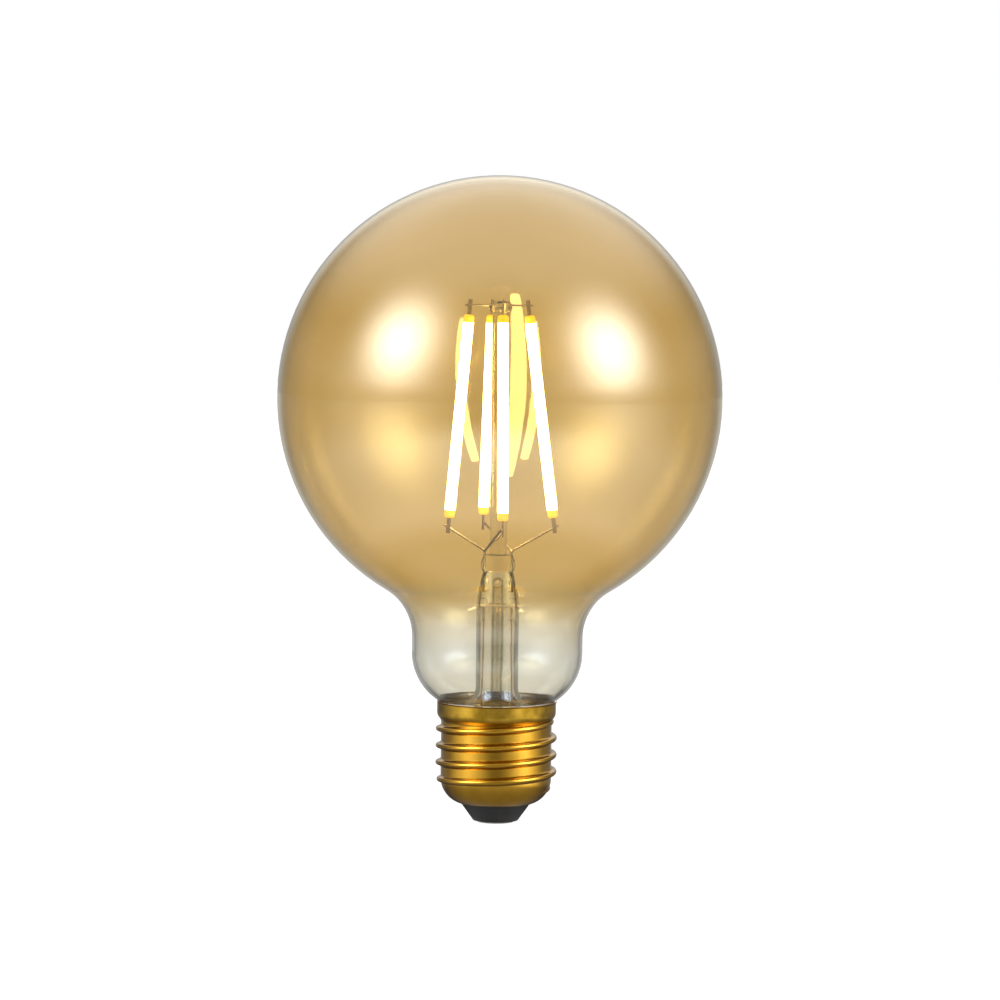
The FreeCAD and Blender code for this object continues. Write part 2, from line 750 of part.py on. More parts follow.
def thread_path(first_turn):
    """Helix, a few edges in a turn, that sinks away at both ends and recedes with the bowl."""
    points_in_turn = 16
    edges_in_turn = 4
    runout = value("thread_runout")
    full_turns = (value("thread_length") - value("thread_end_gap")) / value("thread_pitch")
    last_turn = full_turns + runout
    steps = math.ceil((last_turn - first_turn) * points_in_turn)
    points = []
    for step in range(steps + 1):
        turn = first_turn + (last_turn - first_turn) * step / steps
        height = THREAD_START.value + value("thread_pitch") * turn
        sunk = max(0.0, 1 - min(turn - first_turn, last_turn - turn) / runout)
        radius = carrying_radius(height - value("ridge_width") / 2)
        radius -= value("thread_depth") * sunk * sunk * (3 - 2 * sunk)
        angle = 2 * math.pi * turn
        points.append(vector(radius * math.cos(angle), radius * math.sin(angle), height))
    curve = Part.BSplineCurve()
    curve.interpolate(points)
    first, last = curve.FirstParameter, curve.LastParameter
    edges = math.ceil((last_turn - first_turn) * edges_in_turn)
    marks = [first + (last - first) * number / edges for number in range(edges + 1)]
    return Part.Wire([curve.toShape(low, high) for low, high in zip(marks, marks[1:])])


def thread_sweep(inset, first_turn):
    path = thread_path(first_turn)
    section = ridge_section(inset)
    section.translate(vector(-THREAD_ROOT.value, 0, 0))
    start = path.OrderedVertexes[0].Point
    section.rotate(vector(0, 0, 0), vector(0, 0, 1), math.degrees(math.atan2(start.y, start.x)))
    section.translate(start)
    sweep = Part.BRepOffsetAPI.MakePipeShell(path)
    sweep.setBiNormalMode(vector(0, 0, 1))
    sweep.add(section, False, False)
    sweep.build()
    sweep.makeSolid()
    return sweep.shape()


def make_shell():
    wall = size("shell_wall")
    floor = size("contact_thickness")
    outer = turned("shell_outside", shell_corners(NOUGHT, floor, RIM))
    inner = turned("shell_inside", shell_corners(wall, floor, RIM))
    above_bowl = value("bowl_height") + value("ridge_width") / 2 - THREAD_START.value
    groove_start = above_bowl / value("thread_pitch") - value("thread_runout")
    ridge = shaped("shell_ridge", thread_sweep(0.0, -value("thread_runout")))
    groove = shaped("shell_groove", thread_sweep(wall.value, groove_start))
    with_ridge = fused("shell_outside_with_ridge", outer, ridge)
    with_groove = fused("shell_inside_with_groove", inner, groove)
    return cut("screw_shell", with_ridge, with_groove)


# Insulator, centre contact and cement
def flange_radius():
    """Edge of the insulator inside the cap, clear of the shell at its upper face."""
    bowl = size("bowl_radius") - size("shell_wall")
    reach = other_side(bowl, BOWL_CENTRE[1] - size("insulator_floor_height"))
    return BOWL_CENTRE[0] + reach - size("flange_gap")


def make_insulator():
    wall = size("shell_wall")
    flange = flange_radius()
    top = size("insulator_floor_height")
    base = size("contact_thickness")
    shank = size("contact_shank_diameter") / 2
    outer_edge = bowl_meets(NOUGHT, CAP_HOLE)
    return turned(
        "insulator",
        [
            (shank, base, None),
            (size("insulator_foot_diameter") / 2, base, None),
            (CAP_HOLE - size("insulator_gap"), outer_edge, None),
            (CAP_HOLE, outer_edge, None),
            (CAP_HOLE, bowl_meets(wall, CAP_HOLE), (BOWL_CENTRE, size("bowl_radius") - wall, 1)),
            (flange, bowl_meets(wall, flange), None),
            (flange, top, None),
            (shank, top, None),
        ],
    )


def make_contact():
    edge = size("contact_edge")
    disc = size("contact_diameter") / 2
    shank = size("contact_shank_diameter") / 2
    return turned(
        "centre_contact",
        [
            (NOUGHT, NOUGHT, None),
            (disc - edge, NOUGHT, None),
            (disc, edge, None),
            (disc, size("contact_thickness"), None),
            (shank, size("contact_thickness"), None),
            (shank, size("insulator_floor_height"), None),
            (NOUGHT, size("insulator_floor_height"), None),
        ],
    )


# Driver board in the cap, standing on the insulator
def board_half_width():
    return flange_radius() - size("board_inset")


def outer_lead(side):
    """Thin wire from the weld down to the front of the board."""
    radius = value("outer_lead_diameter") / 2
    across = SIDES[side] * value("lead_spacing") / 2
    spread = SIDES[side] * value("outer_lead_spread")
    front = -value("board_thickness") / 2 - radius
    points = [
        vector(across, 0, KNOT.value - value("knot_diameter") / 2),
        vector(across + spread, 0, NECK_END.value + value("stem_wall")),
        vector(across, front, BOARD_TOP.value + value("component_lift")),
        vector(across, front, BOARD_TOP.value - value("component_lift")),
    ]
    bend = value("lead_bend_radius")
    return bent_wire(side + "_outer_lead", points, size("outer_lead_diameter"), bend)


def make_shell_wire():
    """From the board up beside the neck's end to the inside of the rim."""
    radius = value("supply_wire_diameter") / 2
    bend = value("supply_wire_bend")
    on_collar = COLLAR.value - value("shell_wall") - value("supply_wire_gap") - radius
    edge = board_half_width().value - value("supply_wire_diameter")
    front = -value("board_thickness") / 2 - radius
    points = [
        vector(edge, front, BOARD_TOP.value - value("component_lift")),
        vector(edge, front, BOARD_TOP.value + bend),
        vector(on_collar, 0, NECK_END.value),
        vector(on_collar, 0, RIM.value - value("supply_wire_end")),
    ]
    return bent_wire("shell_wire", points, size("supply_wire_diameter"), bend)


def make_cement(wire):
    outside = COLLAR - size("shell_wall")
    base = COLLAR_BASE
    top = base + size("cement_depth")
    ring = turned(
        "cement_ring",
        [(SEAL, base, None), (outside, base, None), (outside, top, None), (SEAL, top, None)],
    )
    return cut("capping_cement", ring, wire)


def make_driver():
    floor = size("insulator_floor_height")
    lift = size("component_lift")
    aside = size("component_gap")
    half = size("board_thickness") / 2
    half_width = board_half_width()
    half_way = half_width / 2
    board = block(
        "driver_board",
        half_width * 2,
        size("board_thickness"),
        size("board_height"),
        x=half_width * -1,
        y=half * -1,
        z=floor,
    )
    capacitor = cylinder(
        "smoothing_capacitor",
        size("capacitor_diameter"),
        size("capacitor_length"),
        x=half_way * -1,
        y=half + size("capacitor_diameter") / 2,
        z=floor + lift,
    )
    rectifier = block(
        "bridge_rectifier",
        size("rectifier_width"),
        size("rectifier_depth"),
        size("rectifier_height"),
        x=aside,
        y=half * -1 - size("rectifier_depth"),
        z=floor + lift,
    )
    chip = block(
        "driver_chip",
        size("chip_body_width"),
        size("chip_body_depth"),
        size("chip_body_height"),
        x=size("chip_body_width") * -1 - aside,
        y=half * -1 - size("chip_body_depth"),
        z=floor + lift,
    )
    coil = cylinder(
        "choke_coil",
        size("coil_diameter"),
        size("coil_length"),
        x=half_way,
        y=half + size("coil_diameter") / 2,
        z=floor + lift,
    )
    resistor = cylinder(
        "fuse_resistor",
        size("resistor_diameter"),
        size("resistor_length"),
        x=size("resistor_length") / 2,
        y=half * -1 - size("resistor_diameter") / 2,
        z=floor + size("board_height") - size("resistor_diameter") - lift,
    )
    resistor.Placement.Rotation = FreeCAD.Rotation(vector(0, 1, 0), -90)
    return [board, capacitor, rectifier, chip, coil, resistor]


def make_contact_wire():
    """From the rivet's head up the front of the board."""
    radius = value("supply_wire_diameter") / 2
    front = -value("board_thickness") / 2 - radius
    start = vector(0, front, value("insulator_floor_height"))
    length = value("board_height") - value("resistor_diameter") - 2 * value("component_lift")
    end = start + vector(0, 0, length)
    return straight_wire("contact_wire", start, end, size("supply_wire_diameter"))


def make_solder(wire, shell, globe):
    """Dab over the shell's rim where its wire ends."""
    dab = doc.addObject("Part::Ellipsoid", "solder_dab")
    dab.setExpression("Radius1", (size("solder_height") / 2).text)
    dab.setExpression("Radius2", (size("solder_depth") / 2).text)
    dab.setExpression("Radius3", (size("solder_width") / 2).text)
    placed(dab, x=COLLAR - size("shell_wall") / 2, z=RIM)
    clear_of_glass = cut("solder_below_glass", dab, globe)
    clear_of_shell = cut("solder_on_rim", clear_of_glass, shell)
    return cut("side_solder", clear_of_shell, wire)


# Building
globe = make_globe()
top_wires = make_top_wires()
leads = make_leads()
branches = make_branches()
shell = make_shell()
shell_wire = make_shell_wire()
kept = [
    globe,
    *top_wires,
    *leads,
    *branches,
    make_exhaust_tube(),
    make_rod(top_wires),
    make_stem(leads),
    shell,
    make_insulator(),
    make_contact(),
    *make_driver(),
    *[piece for side in STRIPS for piece in make_strip(side)],
    *[outer_lead(side) for side in SIDES],
    shell_wire,
    make_contact_wire(),
    make_cement(shell_wire),
    make_solder(shell_wire, shell, globe),
]
doc.recompute()

for item in doc.Objects:
    if "Invalid" in item.State or "Error" in item.State:
        raise RuntimeError(f"{item.Name} failed: {item.State}")
os.makedirs("parts", exist_ok=True)
for item in kept:
    shape = item.Shape
    if shape.isNull() or not shape.isValid() or not shape.Solids:
        raise RuntimeError(f"{item.Label} has no valid solid")
    shape.exportStep(os.path.join("parts", item.Label + ".step"))
    print(f"{item.Label}: {len(shape.Solids)} solid, {shape.Volume:.3f} mm3")
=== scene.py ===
import bmesh
import bpy
import json
import math
from mathutils import Matrix, Vector


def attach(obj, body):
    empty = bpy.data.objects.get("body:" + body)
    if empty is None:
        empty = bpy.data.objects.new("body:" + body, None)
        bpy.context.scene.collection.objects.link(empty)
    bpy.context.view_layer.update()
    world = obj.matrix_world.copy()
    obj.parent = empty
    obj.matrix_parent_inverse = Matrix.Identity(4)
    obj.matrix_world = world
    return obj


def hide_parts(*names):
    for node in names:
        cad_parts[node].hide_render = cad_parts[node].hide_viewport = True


# A globe bulb of amber glass with four glowing strips and a brass screw cap, in metres.
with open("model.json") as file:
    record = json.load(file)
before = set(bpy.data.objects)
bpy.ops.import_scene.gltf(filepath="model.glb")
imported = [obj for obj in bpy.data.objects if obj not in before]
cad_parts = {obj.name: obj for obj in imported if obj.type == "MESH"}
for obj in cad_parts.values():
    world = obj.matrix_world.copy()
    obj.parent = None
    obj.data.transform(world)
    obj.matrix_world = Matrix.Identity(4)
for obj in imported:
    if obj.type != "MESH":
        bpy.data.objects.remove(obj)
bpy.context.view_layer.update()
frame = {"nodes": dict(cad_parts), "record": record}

MM = 0.001
SIDES = ("left", "back", "front", "right")

# Heights on the bulb where its looks change
CLEAR_BELOW = 35.5 * MM
AMBER_FROM = 54.0 * MM
AMBER_WAVER = 1.5 * MM
COLLAR_BASE = 21.4 * MM
COLLAR_FADE = 2.0 * MM
RIM_EDGE = 25.6 * MM
RIM_FADE = 0.2 * MM

# Length at each end of a strip where no chips lie under its coat, and the width of a cut there
BARE_END = 1.7 * MM
CUT_WIDTH = 1e-7

WHITE = (1.0, 1.0, 1.0)

# Glass: its tints, linear, its gloss where it isn't full, and the fineness of its clouds
AMBER = (0.75, 0.59, 0.295)
CLEAR = (0.80, 0.78, 0.70)
STEM_GLASS = (0.86, 0.84, 0.77)
STEM_SHADE = 0.94
NECK_GLOSS = (0.5, 0.5, 0.5)
STEM_GLOSS = (0.9, 0.9, 0.9)
GLASS_IOR = 1.5
AMBER_CLOUDS = 28.0
STEM_CLOUDS = 90.0

# Brass: its tones, linear, its clouds, how rough it is where it is polished and where it is
# brushed, the lines of the brush, and how much of them shows on the polished part
BRASS = (0.42, 0.235, 0.028)
BRASS_DEEP = (0.27, 0.132, 0.009)
# On the collar the brass is darker: a duller brushed brass, and painted shade for the dim room that it
# reflects
COLLAR_BRASS_AND_SHADE = (0.28, 0.170, 0.021)
COLLAR_DEEP_AND_SHADE = (0.14, 0.083, 0.007)
# Painted shadow: the brass is painted dark at its top edge, where the rim meets the glass
RIM_PAINTED_SHADOW = (0.08, 0.03, 0.003)
BRASS_CLOUDS = 260.0
BRASS_TONE = ((0.3, 0.75), (0.0, 0.55))
POLISHED = (0.13, 0.20)
BRUSHED = (0.28, 0.46)
BRUSH_GRAIN = 90.0
BRUSH_STRETCH = (1.0, 1.0, 26.0)
BRUSH_DEPTH = 0.06 * MM
BRUSH_LEFT = 0.15

# Other metals: light and dark tone, least and most roughness, fineness of the grain, dents
METALS = {
    "copper_wire": ((0.42, 0.20, 0.10), (0.24, 0.12, 0.06), (0.30, 0.45), 700.0, 0.02 * MM),
    "nickel_wire": ((0.42, 0.38, 0.33), (0.20, 0.17, 0.14), (0.25, 0.45), 700.0, 0.02 * MM),
    "strip_tab": ((0.34, 0.28, 0.18), (0.20, 0.16, 0.09), (0.30, 0.50), 700.0, 0.02 * MM),
    "tinned_contact": ((0.62, 0.60, 0.56), (0.46, 0.44, 0.40), (0.28, 0.50), 700.0, 0.02 * MM),
    "solder": ((0.60, 0.57, 0.50), (0.42, 0.38, 0.31), (0.25, 0.45), 400.0, 0.1 * MM),
}

# Surfaces that are no metal: light and dark tone, least and most roughness
PLAIN = {
    "black_plastic": ((0.016, 0.016, 0.017), (0.03, 0.03, 0.03), (0.45, 0.60)),
    "black_insulator": ((0.006, 0.006, 0.006), (0.012, 0.011, 0.010), (0.32, 0.46)),
    "cement": ((0.42, 0.26, 0.06), (0.28, 0.16, 0.03), (0.80, 0.95)),
    "circuit_board": ((0.012, 0.09, 0.03), (0.02, 0.13, 0.05), (0.35, 0.50)),
    "capacitor_can": ((0.02, 0.02, 0.035), (0.035, 0.035, 0.05), (0.30, 0.42)),
    "coil_sleeve": ((0.012, 0.014, 0.012), (0.03, 0.03, 0.03), (0.40, 0.55)),
    "resistor_body": ((0.10, 0.18, 0.14), (0.14, 0.22, 0.18), (0.40, 0.55)),
    "ceramic_carrier": ((0.78, 0.78, 0.74), (0.66, 0.66, 0.62), (0.50, 0.70)),
}
PLAIN_GRAIN = 500.0
PLAIN_DENTS = 0.03 * MM

# Surfaces that glow: tone when unlit, colour of the light and its strength
GLOWING = {
    "light_chip": ((0.80, 0.86, 0.95), (1.0, 0.92, 0.72), 6.0),
    "phosphor_coat": ((0.93, 0.62, 0.16), (1.0, 0.84, 0.56), 30.0),
    "phosphor_end": ((0.93, 0.55, 0.03), (1.0, 0.72, 0.01), 1.35),
}
GLOWING_GRAIN = 900.0
GLOWING_SHADE = 0.85
GLOWING_ROUGH = (0.4, 0.6)
GLOWING_COAT_ROUGH = 0.25

# Ranges of a noise, from its whole spread to its middle, and a level from nothing to all
NOISE_WHOLE = (0.2, 0.8)
NOISE_WIDE = (0.25, 0.75)
NOISE_MIDDLE = (0.3, 0.7)
NOISE_NARROW = (0.35, 0.65)
NONE_TO_ALL = (0.0, 1.0)
ALL_TO_NONE = (1.0, 0.0)

# Soft boxes: azimuth, 0 towards the camera, elevation, both in degrees, and how tight the light is
SOFT_BOXES = ((-57.5, 26.0, 21.0), (62.0, 23.0, 20.0))
BOX_STRENGTH = 18.0
HALO_STRENGTH = 0.6
HALO_TIGHTNESS = 1.5

# Share of their light that is left at the horizon, and its cast on the far side of the globe
HORIZON_SHARE = 0.55
COAT_CAST = (0.85, 1.1, 1.7)

# Room light by direction, a unit vector with Y away from the camera and Z up. Each line says
# over what range a level changes, and from what to what.
# By Z, to which the ceiling adds a share of Y
CEILING = ((0.45, 0.95), (0.0, 2.1))
CEILING_LEAN = 0.3
BELOW_CEILING = ((0.10, 0.45), ALL_TO_NONE)
BACKDROP_FOOT = ((0.05, 0.35), NONE_TO_ALL)
BOXES_FOOT = ((0.0, 0.15), (HORIZON_SHARE, 1.0))
# By Y
BACKDROP = ((0.80, 0.95), (0.0, 0.8))
WALLS_FADE = ((-0.2, 0.35), (1.0, 0.27))
LIT_BACK = ((0.80, 0.97), (0.0, 0.25))
# By X to either side, to which the walls add a share of Y where it is behind the bulb
WALLS = ((0.05, 0.70), (0.12, 1.1))
WALLS_BEHIND = 0.7

# Table, as it is reflected, all painted light: by Y of the bearing painted brighter in front, by
# distance in metres a painted shadow below the bulb, and by slant a painted reflection of the room
PAINTED_TABLE_LIGHT_FRONT = ((0.6, -0.8), (0.5, 3.3))
PAINTED_SHADOW_UNDER_BULB = ((0.0, 0.11), (0.05, 0.27), (0.09, 0.75), (0.24, 1.0))
PAINTED_MIRROR_SLANT = ((0.62, 0.87), NONE_TO_ALL)

# Floor, as the camera sees it: half its side in metres, the white that it gives by itself,
# and how pale it is to the light from outside, in which the bulb's shadow shows
FLOOR_HALF = 4.0
FLOOR_WHITE = 0.93
FLOOR_SKIN = 0.10

# A ray that counts more than these has been reflected, and has crossed three faces of glass
REFLECTED = 0.5
CROSSED_THREE = 2.5

# Camera
LENS_MM = 126.4
SENSOR_MM = 36.0
CLIP = (0.01, 20.0)
SPOT = (0.0, -0.750, 0.1115)
AIM = (0.00026, 0.0, 0.06916)
ROLL_DEGREES = 0.62

# Bounces of a ray, many so that it gets through all the glass
BOUNCES = 32
REFLECTIONS = 8


class Graph:
    """Adds and links the nodes of one material or of the world."""

    def __init__(self, tree):
        self.nodes = tree.nodes
        self.links = tree.links

    def fill(self, node, inputs):
        """Sets inputs of a node to values, or links them to outputs of other nodes."""
        for name, item in inputs.items():
            socket = node.inputs[name]
            if isinstance(item, bpy.types.NodeSocket):
                self.links.new(item, socket)
            elif socket.type == "RGBA":
                socket.default_value = (*item, 1)
            else:
                socket.default_value = item

    def add(self, kind, inputs=None, **settings):
        """A new node with its settings and its inputs."""
        node = self.nodes.new(kind)
        for name, value in settings.items():
            setattr(node, name, value)
        self.fill(node, inputs or {})
        return node

    def place(self, kind="Object"):
        """The place on the object. For the world, the kind is Generated, and gives the direction."""
        return self.add("ShaderNodeTexCoord").outputs[kind]

    def parts(self, vector):
        """The X, Y and Z of a vector."""
        return self.add("ShaderNodeSeparateXYZ", {"Vector": vector}).outputs

    def height(self):
        return self.parts(self.place())["Z"]

    def rays(self):
        return self.add("ShaderNodeLightPath").outputs

    def noise(self, scale, detail=3.0, stretch=(1.0, 1.0, 1.0)):
        """Noise fixed to the object; a stretch over 1 packs it tighter along that axis."""
        sized = self.add("ShaderNodeMapping", {"Vector": self.place(), "Scale": stretch})
        inputs = {"Vector": sized.outputs["Vector"], "Scale": scale, "Detail": detail}
        return self.add("ShaderNodeTexNoise", inputs).outputs["Fac"]

    def maths(self, operation, first, second=0.0):
        return self.add("ShaderNodeMath", {0: first, 1: second}, operation=operation).outputs[0]

    def spread(self, value, taken, given, curve="LINEAR"):
        """Turns the range taken into the range given, and holds its ends beyond them."""
        names = ("Value", "From Min", "From Max", "To Min", "To Max")
        inputs = dict(zip(names, (value, *taken, *given)))
        return self.add("ShaderNodeMapRange", inputs, interpolation_type=curve).outputs["Result"]

    def ease(self, value, taken, given):
        """The same, slow at both ends."""
        return self.spread(value, taken, given, "SMOOTHSTEP")

    def levels(self, value, stops):
        """A level that passes smoothly through the stops, each a value and the level there."""
        ramp = self.add("ShaderNodeValToRGB", {"Fac": value})
        ramp.color_ramp.interpolation = "EASE"
        for _ in stops[2:]:
            ramp.color_ramp.elements.new(0.5)
        for element, (place, level) in zip(ramp.color_ramp.elements, stops):
            element.position = place
            element.color = (level, level, level, 1)
        return ramp.outputs["Color"]

    def pick(self, share, first, second):
        """A number between two, by a share."""
        return self.add("ShaderNodeMix", {"Factor": share, "A": first, "B": second}).outputs["Result"]

    def blend(self, share, first, second):
        """A colour between two, by a share."""
        mix = self.add("ShaderNodeMix", {0: share}, data_type="RGBA")
        colours = [index for index, item in enumerate(mix.inputs) if item.type == "RGBA"]
        self.fill(mix, dict(zip(colours, (first, second))))
        return [item for item in mix.outputs if item.type == "RGBA"][0]

    def either(self, share, first, second):
        """A surface or a background between two, by a share."""
        return self.add("ShaderNodeMixShader", {0: share, 1: first, 2: second}).outputs[0]

    def bump(self, shader, pattern, strength, depth):
        """Dents the surface of a shader by a pattern."""
        dents = self.add("ShaderNodeBump", {"Strength": strength, "Distance": depth, "Height": pattern})
        self.fill(shader, {"Normal": dents.outputs["Normal"]})


def darker(colour, share):
    return tuple(share * part for part in colour)


def material(name):
    """A new material, the graph of its nodes, and its shader."""
    mat = bpy.data.materials.new(name)
    mat.use_nodes = True
    return mat, Graph(mat.node_tree), mat.node_tree.nodes["Principled BSDF"]


# Glass
def glass(name, tint_of):
    """Glass that lets the lamps shine through it, tinted, so that what is inside is lit."""
    mat, graph, shader = material(name)
    tint, gloss = tint_of(graph)
    graph.fill(shader, {
        "Base Color": tint,
        "Specular Tint": gloss,
        "Roughness": 0.0,
        "IOR": GLASS_IOR,
        "Transmission Weight": 1.0,
    })
    shadow = graph.add("ShaderNodeBsdfTransparent", {"Color": tint}).outputs["BSDF"]
    surface = graph.either(graph.rays()["Is Shadow Ray"], shader.outputs["BSDF"], shadow)
    graph.fill(graph.nodes["Material Output"], {"Surface": surface})
    return mat


def globe_tint(graph):
    """Amber and its mirror-like gloss on the globe, fading to plain clear glass at the neck."""
    cloud = graph.spread(graph.noise(AMBER_CLOUDS), NOISE_MIDDLE, (-AMBER_WAVER, AMBER_WAVER))
    level = graph.maths("ADD", graph.height(), cloud)
    share = graph.ease(level, (CLEAR_BELOW, AMBER_FROM), NONE_TO_ALL)
    return graph.blend(share, CLEAR, AMBER), graph.blend(share, NECK_GLOSS, WHITE)


def stem_tint(graph):
    """Clear glass with faintly darker, duller clouds."""
    share = graph.spread(graph.noise(STEM_CLOUDS), NOISE_MIDDLE, NONE_TO_ALL)
    tint = graph.blend(share, STEM_GLASS, darker(STEM_GLASS, STEM_SHADE))
    return tint, graph.blend(share, WHITE, STEM_GLOSS)


# Metals
def brass():
    """Polished brass with deeper clouds; on the collar brushed, patchy and darker, partly painted
    shade; a painted shadow at its edge.
    """
    mat, graph, shader = material("brass")
    lines = graph.noise(BRUSH_GRAIN, detail=4.0, stretch=BRUSH_STRETCH)
    cloud = graph.noise(BRASS_CLOUDS, detail=2.0)
    on_collar = graph.spread(graph.height(), (COLLAR_BASE, COLLAR_BASE + COLLAR_FADE), NONE_TO_ALL)
    # Mask of the painted shadow at the rim's edge, where it meets the glass
    in_painted_rim_shadow = graph.spread(graph.height(), (RIM_EDGE, RIM_EDGE + RIM_FADE), NONE_TO_ALL)
    shell = graph.blend(graph.spread(cloud, *BRASS_TONE), BRASS, BRASS_DEEP)
    # The collar's darker tones, partly duller brass and partly painted shade
    collar = graph.blend(graph.spread(cloud, NOISE_NARROW, NONE_TO_ALL), COLLAR_BRASS_AND_SHADE, COLLAR_DEEP_AND_SHADE)
    clean = graph.blend(on_collar, shell, collar)
    polished = graph.spread(cloud, NOISE_WHOLE, POLISHED)
    brushed = graph.spread(lines, NOISE_WIDE, BRUSHED)
    graph.fill(shader, {
        "Metallic": 1.0,
        "Base Color": graph.blend(in_painted_rim_shadow, clean, RIM_PAINTED_SHADOW),
        "Roughness": graph.pick(on_collar, polished, brushed),
    })
    grooves = graph.maths("MULTIPLY", lines, graph.spread(on_collar, NONE_TO_ALL, (BRUSH_LEFT, 1.0)))
    graph.bump(shader, grooves, strength=0.35, depth=BRUSH_DEPTH)
    return mat


def speckled(name, light, dark, rough, grain, detail):
    """Two tones in a fine noise, which varies the roughness too."""
    mat, graph, shader = material(name)
    pattern = graph.noise(grain, detail)
    share = graph.spread(pattern, NOISE_MIDDLE, NONE_TO_ALL)
    roughness = graph.spread(pattern, NOISE_WIDE, rough)
    graph.fill(shader, {"Base Color": graph.blend(share, light, dark), "Roughness": roughness})
    return mat, graph, shader, pattern


def metal(name, light, dark, rough, grain, dents):
    mat, graph, shader, pattern = speckled(name, light, dark, rough, grain, detail=3.0)
    graph.fill(shader, {"Metallic": 1.0})
    graph.bump(shader, pattern, strength=0.3, depth=dents)
    return mat


# Other surfaces
def plain(name, light, dark, rough, grain=PLAIN_GRAIN):
    mat, graph, shader, pattern = speckled(name, light, dark, rough, grain, detail=4.0)
    graph.bump(shader, pattern, strength=0.25, depth=PLAIN_DENTS)
    return mat


def glowing(name, skin, glow, strength):
    """A glossy surface that shines by itself."""
    mat = plain(name, skin, darker(skin, GLOWING_SHADE), GLOWING_ROUGH, GLOWING_GRAIN)
    graph = Graph(mat.node_tree)
    graph.fill(graph.nodes["Principled BSDF"], {
        "Emission Color": glow,
        "Emission Strength": strength,
        "Coat Weight": 1.0,
        "Coat Roughness": GLOWING_COAT_ROUGH,
    })
    return mat


finishes = {
    "amber_glass": glass("amber_glass", globe_tint),
    "clear_glass": glass("clear_glass", stem_tint),
    "brass": brass(),
}
for maker, looks in ((metal, METALS), (plain, PLAIN), (glowing, GLOWING)):
    for name, values in looks.items():
        finishes[name] = maker(name, *values)

slot_of = {part["node"]: part["material_slot"] for part in frame["record"]["subparts"]}
for node, item in frame["nodes"].items():
    for slot in item.material_slots:
        slot.material = finishes[slot_of[node]]


# Strips
def lit_coat(side):
    """A strip's coat, cut across near its ends: white hot over the chips, yellow beyond them."""
    node = f"{side}_strip_coat"
    mesh = frame["nodes"][node].data.copy()
    mesh.materials.clear()
    mesh.materials.append(finishes["phosphor_coat"])
    mesh.materials.append(finishes["phosphor_end"])
    work = bmesh.new()
    work.from_mesh(mesh)
    top = max(work.verts, key=lambda corner: corner.co.z).co.copy()
    foot = min(work.verts, key=lambda corner: corner.co.z).co.copy()
    along = (top - foot).normalized()
    for cut in (top - along * BARE_END, foot + along * BARE_END):
        whole = work.verts[:] + work.edges[:] + work.faces[:]
        bmesh.ops.bisect_plane(work, geom=whole, dist=CUT_WIDTH, plane_co=cut, plane_no=along)
    for face in work.faces:
        middle = face.calc_center_median()
        from_end = min((top - middle).dot(along), (middle - foot).dot(along))
        face.material_index = 1 if from_end < BARE_END else 0
    work.to_mesh(mesh)
    work.free()
    piece = bpy.data.objects.new(f"{side}_lit_coat", mesh)
    bpy.context.collection.objects.link(piece)
    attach(piece, "root")
    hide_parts(node)


for side in SIDES:
    lit_coat(side)


# Studio light
def sees_white(graph):
    """1 for a ray from the camera, also through glass, and 0 once it has been reflected."""
    rays = graph.rays()
    unturned = graph.maths("LESS_THAN", rays["Glossy Depth"], REFLECTED)
    through = graph.maths("MULTIPLY", rays["Is Transmission Ray"], unturned)
    return graph.maths("MAXIMUM", rays["Is Camera Ray"], through)


def lamp_colour(graph):
    """White, or the cast of the amber coat for what the far side of the globe reflects."""
    rays = graph.rays()
    crossed = graph.maths("GREATER_THAN", rays["Transmission Depth"], CROSSED_THREE)
    reflected = graph.maths("GREATER_THAN", rays["Glossy Depth"], REFLECTED)
    far_side = graph.maths("MULTIPLY", crossed, reflected)
    return graph.blend(far_side, WHITE, COAT_CAST)


def soft_box(graph, way, azimuth, elevation, strength, tightness):
    """Light from one side, bright at its middle and fading outwards."""
    turn = math.radians(azimuth)
    tilt = math.radians(elevation)
    middle = (math.sin(turn) * math.cos(tilt), -math.cos(turn) * math.cos(tilt), math.sin(tilt))
    facing = graph.add("ShaderNodeVectorMath", {0: way, 1: middle}, operation="DOT_PRODUCT")
    ahead = graph.maths("MAXIMUM", facing.outputs["Value"])
    return graph.maths("MULTIPLY", graph.maths("POWER", ahead, tightness), strength)


def lamp_glow(graph, way):
    """Two soft boxes in front, at the left and the right, each with a wide weak halo."""
    glow = 0.0
    for azimuth, elevation, box_tightness in SOFT_BOXES:
        for strength, tightness in ((BOX_STRENGTH, box_tightness), (HALO_STRENGTH, HALO_TIGHTNESS)):
            light = soft_box(graph, way, azimuth, elevation, strength, tightness)
            glow = graph.maths("ADD", glow, light)
    return glow


def room_level(graph, bearing):
    """The room at eye level: dark behind the camera, lit at the sides, darker towards the back."""
    parts = graph.parts(bearing)
    sideways = graph.maths("ABSOLUTE", parts["X"])
    backwards = graph.maths("MULTIPLY", graph.maths("MAXIMUM", parts["Y"]), WALLS_BEHIND)
    walls = graph.ease(graph.maths("ADD", sideways, backwards), *WALLS)
    fading = graph.maths("MULTIPLY", walls, graph.ease(parts["Y"], *WALLS_FADE))
    return graph.maths("ADD", fading, graph.ease(parts["Y"], *LIT_BACK))


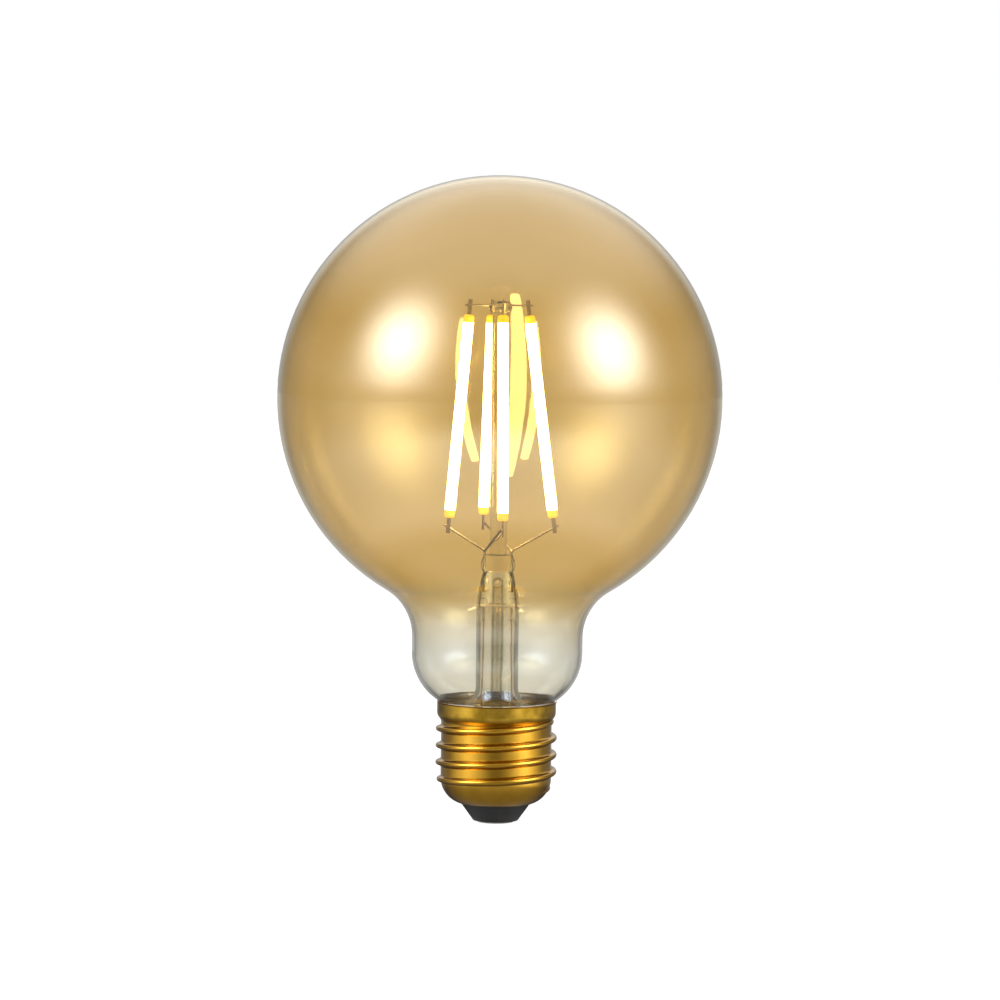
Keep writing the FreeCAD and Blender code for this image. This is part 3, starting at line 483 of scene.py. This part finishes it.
def make_world():
    """White to the camera. Reflected, it is the studio with its ceiling, walls and soft boxes."""
    world = bpy.data.worlds.new("studio")
    bpy.context.scene.world = world
    world.use_nodes = True
    graph = Graph(world.node_tree)
    graph.nodes.clear()
    way = graph.place("Generated")
    parts = graph.parts(way)
    leaning = graph.maths("MULTIPLY", parts["Y"], CEILING_LEAN)
    ceiling = graph.ease(graph.maths("ADD", parts["Z"], leaning), *CEILING)
    room = graph.maths("MULTIPLY", room_level(graph, way), graph.ease(parts["Z"], *BELOW_CEILING))
    raised = graph.ease(parts["Z"], *BACKDROP_FOOT)
    backdrop = graph.maths("MULTIPLY", graph.ease(parts["Y"], *BACKDROP), raised)
    light = graph.maths("ADD", ceiling, graph.maths("ADD", room, backdrop))
    boxes = graph.maths("MULTIPLY", lamp_glow(graph, way), graph.ease(parts["Z"], *BOXES_FOOT))
    studio = graph.add("ShaderNodeBackground", {"Strength": light})
    lamps = graph.add("ShaderNodeBackground", {"Color": lamp_colour(graph), "Strength": boxes})
    white = graph.add("ShaderNodeBackground", {"Color": WHITE})
    lit = graph.add("ShaderNodeAddShader", {0: studio.outputs[0], 1: lamps.outputs[0]})
    surface = graph.either(sees_white(graph), lit.outputs[0], white.outputs[0])
    graph.add("ShaderNodeOutputWorld", {"Surface": surface})


def make_floor():
    """White to the camera. Reflected, it is painted light: a table painted brighter in front with a
    painted shadow below the bulb, and at a slant a painted reflection of the room.
    """
    half = FLOOR_HALF
    mesh = bpy.data.meshes.new("floor")
    corners = [(-half, -half, 0), (half, -half, 0), (half, half, 0), (-half, half, 0)]
    mesh.from_pydata(corners, [], [(0, 1, 2, 3)])
    floor = bpy.data.objects.new("floor", mesh)
    bpy.context.collection.objects.link(floor)
    mat, graph, shader = material("floor")
    place = graph.place()
    reach = graph.add("ShaderNodeVectorMath", {0: place}, operation="LENGTH").outputs["Value"]
    outward = graph.add("ShaderNodeVectorMath", {0: place}, operation="NORMALIZE").outputs["Vector"]
    # Painted light and a painted shadow on the table: brighter in front, dark below the bulb
    front = graph.ease(graph.parts(outward)["Y"], *PAINTED_TABLE_LIGHT_FRONT)
    table = graph.maths("MULTIPLY", front, graph.levels(reach, PAINTED_SHADOW_UNDER_BULB))
    # Painted reflection of the soft boxes and the room, in place of a real gloss
    painted_lamp_reflection = graph.maths("MULTIPLY", lamp_glow(graph, outward), HORIZON_SHARE)
    far = graph.maths("ADD", room_level(graph, outward), painted_lamp_reflection)
    slant = graph.add("ShaderNodeLayerWeight").outputs["Facing"]
    # At a slant the table shows the painted reflection; room here is painted light and painted
    # reflection
    room = graph.pick(graph.ease(slant, *PAINTED_MIRROR_SLANT), table, far)
    directly = graph.rays()["Is Camera Ray"]
    white = graph.spread(directly, NONE_TO_ALL, (1.0, FLOOR_WHITE))
    graph.fill(shader, {
        "Base Color": graph.spread(directly, NONE_TO_ALL, (0.0, FLOOR_SKIN)),
        "Roughness": 1.0,
        "Specular IOR Level": 0.0,
        "Emission Color": WHITE,
        "Emission Strength": graph.pick(sees_white(graph), room, white),
    })
    mesh.materials.append(mat)


def make_camera():
    """The photograph's view: from 750 mm in front, just above the level of the strips."""
    camera = bpy.data.cameras.new("camera")
    camera.lens = LENS_MM
    camera.sensor_width = SENSOR_MM
    camera.clip_start, camera.clip_end = CLIP
    item = bpy.data.objects.new("camera", camera)
    bpy.context.collection.objects.link(item)
    spot = Vector(SPOT)
    away = (spot - Vector(AIM)).normalized()
    across = Vector((0, 0, 1)).cross(away).normalized()
    up = away.cross(across)
    roll = Matrix.Rotation(math.radians(ROLL_DEGREES), 3, "Z")
    turned = Matrix((across, up, away)).transposed() @ roll
    item.matrix_world = Matrix.Translation(spot) @ turned.to_4x4()
    bpy.context.scene.camera = item


make_world()
make_floor()
make_camera()
scene = bpy.context.scene
scene.view_settings.view_transform = "Standard"
scene.cycles.max_bounces = BOUNCES
scene.cycles.transmission_bounces = BOUNCES
scene.cycles.transparent_max_bounces = BOUNCES
scene.cycles.glossy_bounces = REFLECTIONS
scene.cycles.caustics_reflective = False
scene.cycles.caustics_refractive = False
